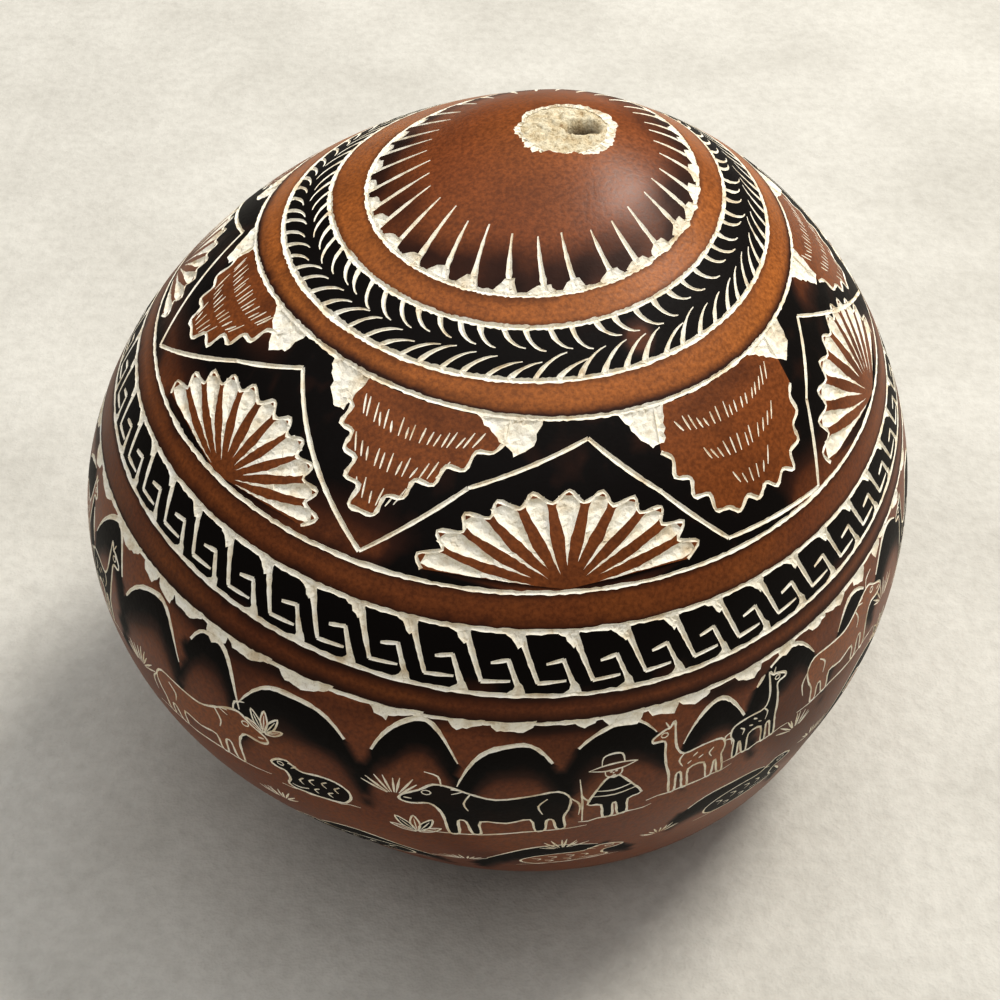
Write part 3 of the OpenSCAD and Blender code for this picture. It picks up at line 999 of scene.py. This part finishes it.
for turn, phi, blades, high in (
        (-174, -3, 9, 3.2), (-141, -5, 10, 3.0), (-120, -16, 9, 2.8), (-103, -6, 9, 3.4), (-84, -21, 9, 3.0),
        (-48, -13, 9, 3.0), (-26, -6, 9, 3.2), (-4, -14, 8, 2.8), (19, -8, 9, 3.2), (50, -8, 9, 3.0),
        (74, -7, 9, 3.0), (94, -8, 9, 3.0), (116, -8, 9, 3.2), (146, -8, 9, 3.0), (166, -8, 8, 3.0),
        (-156, -19, 8, 2.8), (-126, -23, 9, 2.8), (-98, -26, 9, 3.0), (-70, -25, 9, 2.8), (-42, -21, 9, 2.8),
        (-12, -21, 9, 2.8), (38, -23, 9, 2.8), (92, -24, 9, 2.8), (148, -24, 9, 2.8)):
    tuft((turn, phi), blades, high)
for turn, phi, size, facing in (
        (-101.5, -14.5, 0.85, 1), (-119, -1.5, 0.7, 1), (-25, -14.0, 0.8, -1), (72, -14.0, 0.8, 1),
        (170, -1.0, 0.8, 1)):
    bush((turn, phi), size, facing)


def near(coat, place):
    return abs(coat[0][0] - place[0]) < 30 and abs(coat[0][1] - place[1]) < 20


def clear_of_beasts(path):
    """The lengths of a path that pass behind no beast."""
    run = []
    close = [coat for coat in coats if near(coat, path[0])]
    for place in evenly(path) + [None]:
        hidden = place is None or any(
            inside(place, coat) or min(gap_mm(place, p) for p in coat[::2]) < 0.6 for coat in close)
        if not hidden:
            run.append(place)
            continue
        if len(run) > 3:
            yield run
        run = []


# A hill's crest is one sweep of the burin, broad at its start and thin where it runs out.
for crest, half, top in HILLS:
    side = 1 if math.sin(7 * crest) > -0.3 else -1
    path = [(crest + side * half * u, hill_top(top, side * u, crest)) for u in np.linspace(-0.72, 0.98, 15)]
    broad = 0.62 if top > -10 else 0.36
    for run in clear_of_beasts(path):
        stroke(frieze, run, (0.5 * broad, broad, 0.14))

build_band(frieze, 300, 200, 1.25)

# The stem root is what the snapped stem left in the crown: pale, corky and torn, with a pit where the pith
# has crumbled out. It grew there as a plug that fills the mouth of the rind and goes down inside it.
CROWN_Z = HEART_Z + BELLY_R * STATIONS[0]
ROOT_RINGS = 16
ROOT_COLUMNS = 120
TAIL = [(3.8, 3.4), (2.2, 4.6), (0.9, 5.4)]
PIT_AT = (1.9, 0.4)


def root_top(x, y, share):
    rough = 0.30 * noise.noise((x * 0.9, y * 0.9, 1.0)) + 0.20 * noise.noise((x * 2.4, y * 2.4, 6.0))
    pit = 2.0 * (1 - smooth(0.7, 1.9, math.hypot((x - PIT_AT[0]) / 1.35, y - PIT_AT[1])))
    return CROWN_Z - 0.55 - pit + rough * (1 - share ** 4) * 1.6


def ring_faces(rings_of_points, columns, first=0):
    """Four-sided faces between rings that have the same number of points."""
    faces = []
    for ring in range(rings_of_points - 1):
        a = first + ring * columns
        for k in range(columns):
            n = (k + 1) % columns
            faces.append((a + k, a + k + columns, a + n + columns, a + n))
    return faces


verts = [(0, 0, root_top(0, 0, 0))]
for ring in range(1, ROOT_RINGS + 1):
    share = ring / ROOT_RINGS
    for k in range(ROOT_COLUMNS):
        t = 360 * k / ROOT_COLUMNS
        edge = skin(t, rim_phi(t) - 0.25, 0.18)
        x, y = edge[0] * share, edge[1] * share
        level = root_top(x, y, share)
        verts.append((x, y, level + (edge[2] - level) * smooth(0.72, 1.0, share)))
for far, down in TAIL:
    for k in range(ROOT_COLUMNS):
        t = math.radians(360 * k / ROOT_COLUMNS)
        verts.append((far * math.cos(t), far * math.sin(t), CROWN_Z - 0.6 - down))
verts.append((0, 0, CROWN_Z - 0.7 - TAIL[-1][1]))
end = len(verts) - 1
last = end - ROOT_COLUMNS
faces = [(0, 1 + k, 1 + (k + 1) % ROOT_COLUMNS) for k in range(ROOT_COLUMNS)]
faces += ring_faces(ROOT_RINGS + len(TAIL), ROOT_COLUMNS, 1)
faces += [(last + k, end, last + (k + 1) % ROOT_COLUMNS) for k in range(ROOT_COLUMNS)]


def solid_piece(name, verts, faces, material):
    mesh = bpy.data.meshes.new(name)
    mesh.from_pydata([tuple(c * MM for c in v) for v in verts], [], faces)
    mesh.polygons.foreach_set("use_smooth", [True] * len(faces))
    mesh.materials.append(material)
    piece = bpy.data.objects.new(name, mesh)
    bpy.context.collection.objects.link(piece)
    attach(piece, "gourd")
    return piece


corky, tree = new_material("torn_cork")
clumps = grain(tree, 700, 4, 0.65)
crumbs = grain(tree, 2400, 4, 0.7)
cork_color = ramp(tree, clumps, [
    (0.28, (0.34, 0.22, 0.11)), (0.42, (0.76, 0.63, 0.41)), (0.66, (0.92, 0.85, 0.65))])
cork_color = tint(tree, cork_color, 0.6, crumbs, [(0.34, (0.35, 0.27, 0.18)), (0.52, ALL)])
# Below a height in the pit the cork is blended to dark brown: this is painted shade in the hollow.
in_place = add_node(tree, "ShaderNodeTexCoord").outputs["Object"]
heights = add_node(tree, "ShaderNodeSeparateXYZ", Vector=in_place)
clear_of_pit_shade = add_node(tree, "ShaderNodeMapRange", Value=heights.outputs["Z"])
feed(tree, clear_of_pit_shade.inputs["From Min"], (CROWN_Z - 2.3) * MM)
feed(tree, clear_of_pit_shade.inputs["From Max"], (CROWN_Z - 1.1) * MM)
cork_color = blend(tree, clear_of_pit_shade.outputs["Result"], (0.055, 0.030, 0.014), cork_color)
dress(tree, cork_color, 0.92, maths(tree, "ADD", clumps, crumbs), 0.9, 0.0004, 0.15)
root = solid_piece("torn_stem_root", verts, faces, corky)
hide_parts("stem_root")

# The foot is where the underside is sanded to a flat that the gourd stands on, through to the bare rind.
# It meets the frieze all round and leaves a cup in the middle for the scar.
SCAR_AT = 1.5 * FOOT_AT
SCAR_R = 3.0
SCAR_DEEP = 0.4
FOOT_COLUMNS = 200
FOOT_RINGS = 18
verts = []
for ring in range(FOOT_RINGS + 1):
    share = ring / FOOT_RINGS
    for k in range(FOOT_COLUMNS):
        turn = SEAM + 360 * k / FOOT_COLUMNS
        outer = skin(turn, FLAT_PHI)
        lip = SCAR_AT + SCAR_R * np.array((math.cos(math.radians(turn)), math.sin(math.radians(turn))))
        x, y = outer[:2] * (1 - share) + lip * share
        verts.append((x, y, outer[2] * (1 - share)))
for k in range(FOOT_COLUMNS):
    x, y, z = verts[FOOT_RINGS * FOOT_COLUMNS + k]
    verts.append((x, y, SCAR_DEEP + 0.2))
faces = ring_faces(FOOT_RINGS + 2, FOOT_COLUMNS)

sanded_rind, tree = new_material("sanded_rind")
patches = grain(tree, 110, 4, 0.6)
scratches = grain(tree, 300, 3, 0.6, (1.0, 12.0, 1.0))
worn = ramp(tree, patches, [
    (0.36, (0.16, 0.055, 0.022)), (0.50, (0.42, 0.24, 0.11)), (0.66, (0.60, 0.42, 0.24))])
worn = tint(tree, worn, 0.4, scratches, [(0.35, (0.5, 0.45, 0.4)), (0.6, ALL)])
dress(tree, worn, 0.75, scratches, 0.4, 0.00008)
solid_piece("sanded_foot", verts, faces, sanded_rind)

# The blossom scar is the small dry navel where the flower sat, at the lowest point of the belly.
# It is brown and corky, and it grew into the rind. The solid's own shape is kept and gets its finish.
dry_scar, tree = new_material("blossom_scar_skin")
creases = grain(tree, 900, 4, 0.65)
brown = ramp(tree, creases, [(0.35, (0.10, 0.05, 0.025)), (0.6, (0.40, 0.25, 0.13))])
dress(tree, brown, 0.85, creases, 0.8, 0.0002)


def repaint(node, material):
    """A CAD node keeps its shape and gets a finished material."""
    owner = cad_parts[node]
    if not owner.material_slots:
        owner.data.materials.append(material)
    for slot in owner.material_slots:
        slot.material = material


repaint("blossom_scar", dry_scar)

# The pulp ball is the inner flesh of the gourd, which has shrunk and dried to a light loose ball.
# Nothing holds it, so it rolls and rattles inside the rind.
dried_pulp, tree = new_material("dried_pulp")
threads = grain(tree, 500, 6, 0.7, (1.0, 1.0, 0.25))
straw = ramp(tree, threads, [(0.32, (0.38, 0.27, 0.14)), (0.62, (0.80, 0.68, 0.47))])
dress(tree, straw, 0.95, threads, 0.9, 0.0006)
repaint("pulp_ball", dried_pulp)

# The seeds are flat and leathery, with a smooth tan coat that is a little glossy.
# They came loose as the pulp dried and lie round the ball on the floor of the rind.
SEEDS = 8
seed_coat, tree = new_material("seed_coat")
streaks = grain(tree, 700, 4, 0.55, (1.0, 0.3, 1.0))
tan = ramp(tree, streaks, [(0.34, (0.36, 0.22, 0.10)), (0.64, (0.68, 0.50, 0.28))])
dress(tree, tan, 0.45, streaks, 0.3, 0.0001)
for k in range(SEEDS):
    repaint(f"seed_{k + 1}", seed_coat)

# The camera looks down on the gourd from the front, as a hand-held telephone would from 20 cm away.
# Its distance and its shifts aside and up are in mm, and its angles in degrees.
CAMERA_TILT = math.radians(43.78)
CAMERA_ROLL = math.radians(0.25)
CAMERA_FAR = 206.6
CAMERA_ASIDE = -6.94
CAMERA_UP = -10.2
SENSOR = 36.0
LENS_PER_SENSOR = 1.6518

away = Vector((0, -math.cos(CAMERA_TILT), math.sin(CAMERA_TILT)))
level_right = Vector((1, 0, 0))
level_up = away.cross(level_right)
right = level_right * math.cos(CAMERA_ROLL) + level_up * math.sin(CAMERA_ROLL)
up = level_up * math.cos(CAMERA_ROLL) - level_right * math.sin(CAMERA_ROLL)
place = (Vector((0, 0, HEART_Z)) + away * CAMERA_FAR + right * CAMERA_ASIDE + up * CAMERA_UP) * MM
lens = bpy.data.cameras.new("camera")
lens.sensor_width = SENSOR
lens.lens = SENSOR * LENS_PER_SENSOR
lens.clip_start = 0.01
camera = bpy.data.objects.new("camera", lens)
camera.matrix_world = Matrix.Translation(place) @ Matrix((right, up, away)).transposed().to_4x4()
bpy.context.collection.objects.link(camera)
bpy.context.scene.camera = camera

# The table is a wide flat top under a plain pale cloth of linen.
# The cloth is laid smooth and shows a fine weave and faint folds.
bpy.ops.mesh.primitive_plane_add(size=24, location=(0, 0, 0))
table = bpy.context.object
table.name = "table"
linen, tree = new_material("table_cloth")
folds = grain(tree, 28, 3, 0.55)
weave = grain(tree, 420, 3, 0.7)
cloth = ramp(tree, folds, [(0.30, (0.56, 0.540, 0.485)), (0.62, (0.655, 0.635, 0.575))])
cloth = tint(tree, cloth, 0.35, weave, [(0.30, (0.72, 0.71, 0.70)), (0.62, (1.05, 1.05, 1.05))])
dress(tree, cloth, 0.9, maths(tree, "ADD", weave, maths(tree, "MULTIPLY", folds, 3.0)), 0.5, 0.0006, 0.1)
table.data.materials.append(linen)

# The light is one window at the back right, half a metre wide, in a room with a light ceiling and dark
# walls, so the room lights mostly the faces that look up.
window = bpy.data.lights.new("window", "AREA")
window.shape = "DISK"
window.size = 0.50
window.energy = 11.2
window.color = (1.0, 0.965, 0.90)
lamp = bpy.data.objects.new("window", window)
lamp.location = (0.56, 0.42, 1.08)
lamp.rotation_euler = (Vector((0, 0, 0.04)) - lamp.location).to_track_quat("-Z", "Y").to_euler()
bpy.context.collection.objects.link(lamp)
world = bpy.data.worlds.new("room")
world.use_nodes = True
tree = world.node_tree
heading = add_node(tree, "ShaderNodeTexCoord").outputs["Generated"]
height = add_node(tree, "ShaderNodeSeparateXYZ", Vector=heading).outputs["Z"]
sky = ramp(tree, height, [(0.0, (0.05, 0.05, 0.05)), (0.45, (0.12, 0.12, 0.12)), (1.0, (1.20, 1.20, 1.22))])
feed(tree, tree.nodes["Background"].inputs["Color"], sky)
bpy.context.scene.world = world
bpy.context.scene.view_settings.view_transform = "Standard"
bpy.context.scene.view_settings.look = "Medium High Contrast"
